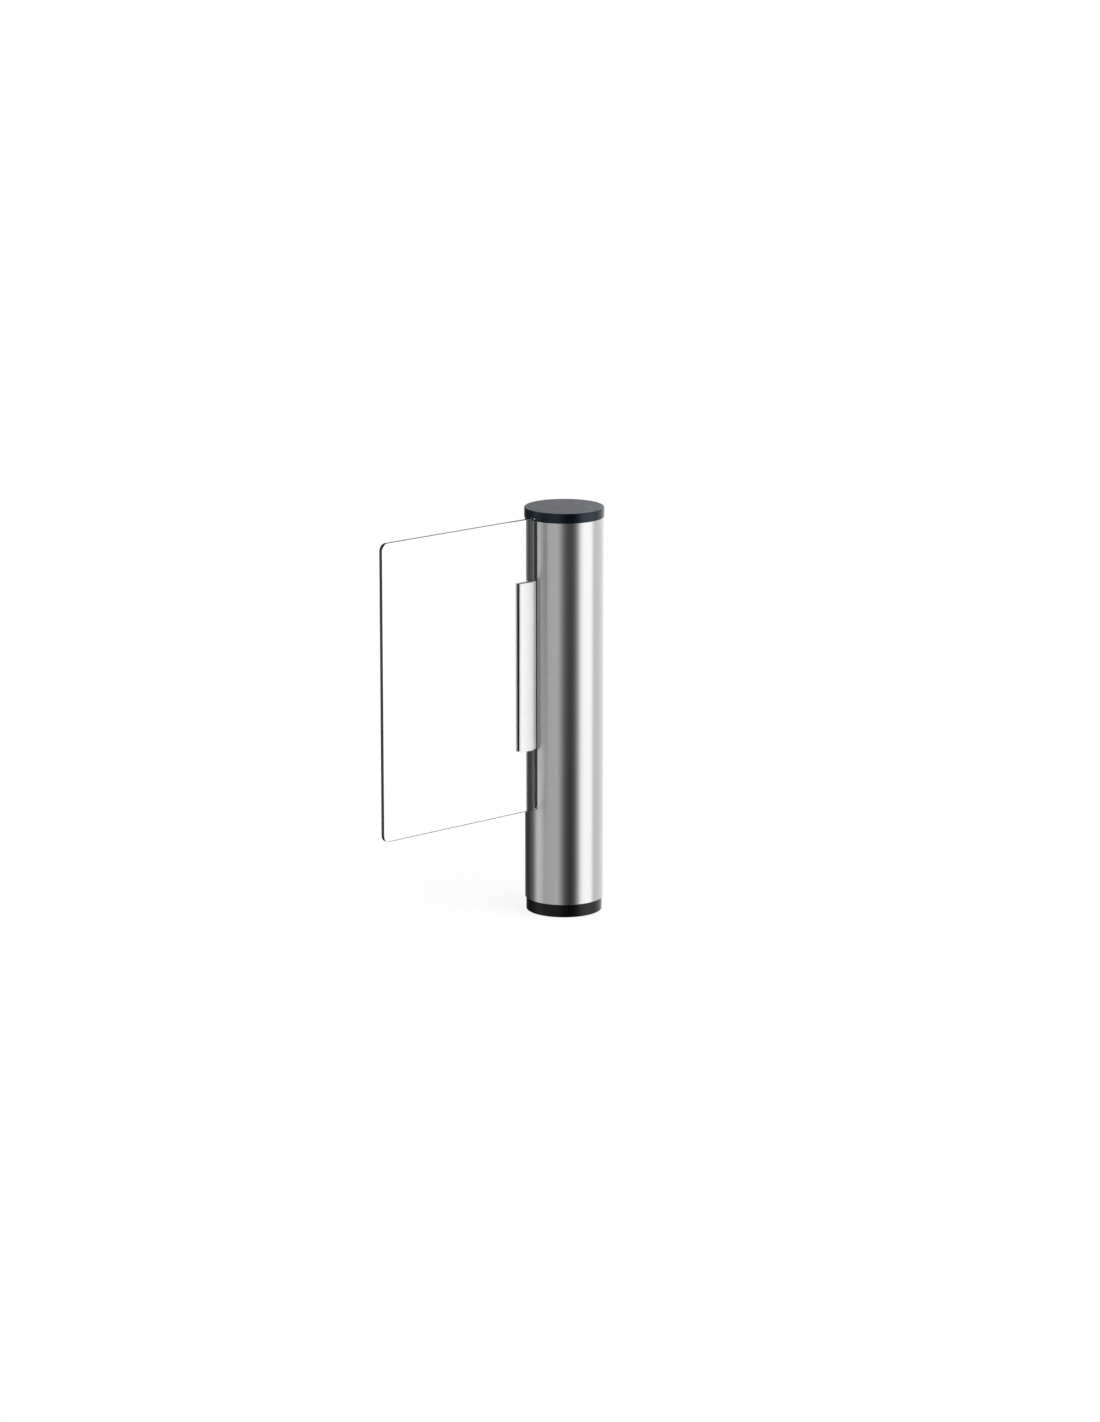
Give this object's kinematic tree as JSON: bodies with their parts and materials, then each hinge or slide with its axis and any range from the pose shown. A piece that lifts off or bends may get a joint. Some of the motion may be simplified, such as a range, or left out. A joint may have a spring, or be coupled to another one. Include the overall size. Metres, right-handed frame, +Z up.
{
  "type": "swing barrier gate",
  "caption": "Slim pedestrian swing gate: a clear glass wing clamped to a brushed steel sleeve that turns on bearings about a floor-mounted column, with its geared drive inside.",
  "frame": {"origin": "centre of the post on the floor, in the underside of the base flange", "axes": "+Z up along the post; at rest the glass wing stands out along -X; the clamp's screw heads face +Y"},
  "size_m": [0.6695, 0.193, 1],
  "materials": {
    "brushed_stainless": "vertical grain, satin",
    "clamp_steel": "fine satin",
    "cap_black": "moulded, satin black",
    "cap_face": "satin dark grey",
    "base_black": "moulded, satin black",
    "clear_glass": "clear toughened glass, polished edges",
    "black_rubber": "matt black rubber",
    "zinc_steel": "zinc-plated steel",
    "hub_steel": "turned steel",
    "bearing_steel": "ground and polished bearing steel",
    "drive_steel": "machined steel",
    "black_oxide": "black oxide",
    "bronze": "sintered bronze",
    "brass_cage": "stamped brass",
    "cast_aluminium": "machined aluminium",
    "board_green": "solder mask green",
    "grey_plastic": "moulded grey plastic"
  },
  "bodies": {
    "post": {"base_flange": "zinc_steel", "base_ring": "base_black", "core_column": "zinc_steel", "bearing_circlip": "black_oxide", "lower_bearing_inner_ring": "bearing_steel", "lower_pillar_1": "zinc_steel", "lower_pillar_2": "zinc_steel", "lower_pillar_3": "zinc_steel", "upper_pillar_1": "zinc_steel", "upper_pillar_2": "zinc_steel", "upper_pillar_3": "zinc_steel", "gear_plate": "cast_aluminium", "pilot_bush": "bronze", "gearbox": "drive_steel", "drive_motor": "black_oxide", "motor_brake": "zinc_steel", "angle_sensor": "grey_plastic", "top_plate": "cast_aluminium", "top_plate_screw_1": "zinc_steel", "top_plate_screw_2": "zinc_steel", "top_plate_screw_3": "zinc_steel", "upper_bearing_outer_ring": "bearing_steel", "stop_buffer_left": "black_rubber", "stop_buffer_right": "black_rubber", "board_bracket": "zinc_steel", "control_board": "board_green", "power_supply": "cast_aluminium", "terminal_block": "grey_plastic"},
    "wing": {"sleeve": "brushed_stainless", "slot_seal": "black_rubber", "lower_hub": "hub_steel", "lower_bearing_outer_ring": "bearing_steel", "top_hub": "hub_steel", "hub_locknut": "black_oxide", "main_shaft": "drive_steel", "main_gear": "drive_steel", "upper_bearing_inner_ring": "bearing_steel", "cap": "cap_black", "cap_disc": "cap_face", "spine": "zinc_steel", "spine_screw_lower": "zinc_steel", "spine_screw_upper": "zinc_steel", "neck_screw_1": "zinc_steel", "neck_screw_2": "zinc_steel", "neck_screw_3": "zinc_steel", "clamp_body": "clamp_steel", "clamp_plate": "clamp_steel", "gasket_near": "black_rubber", "gasket_far": "black_rubber", "clamp_screw_1": "clamp_steel", "clamp_screw_2": "clamp_steel", "clamp_screw_3": "clamp_steel", "clamp_screw_4": "clamp_steel", "clamp_screw_5": "clamp_steel", "clamp_screw_6": "clamp_steel", "glass_wing": "clear_glass"},
    "pinion": {"output_pinion": "drive_steel"},
    "lower_balls": {"lower_ball_cage": "brass_cage"},
    "upper_balls": {"upper_ball_cage": "brass_cage"}
  },
  "joints": [
    {"name": "wing_swing", "type": "hinge", "parent": "post", "child": "wing", "pos_m": [0, 0, 0.5], "axis": [0, 0, 1], "range_deg": [-90, 90]},
    {"name": "pinion_spin", "type": "hinge", "parent": "post", "child": "pinion", "pos_m": [0.048, 0, 0.774], "axis": [0, 0, 1], "range_deg": [-270, 270]},
    {"name": "lower_balls_roll", "type": "hinge", "parent": "post", "child": "lower_balls", "pos_m": [0, 0, 0.0526], "axis": [0, 0, 1], "range_deg": [-48, 48]},
    {"name": "upper_balls_roll", "type": "hinge", "parent": "post", "child": "upper_balls", "pos_m": [0, 0, 0.8583], "axis": [0, 0, 1], "range_deg": [-36, 36]}
  ],
  "couplings": [
    {"joint": "pinion_spin", "follows": "wing_swing", "ratio": -3},
    {"joint": "lower_balls_roll", "follows": "wing_swing", "ratio": 0.53},
    {"joint": "upper_balls_roll", "follows": "wing_swing", "ratio": 0.397}
  ]
}
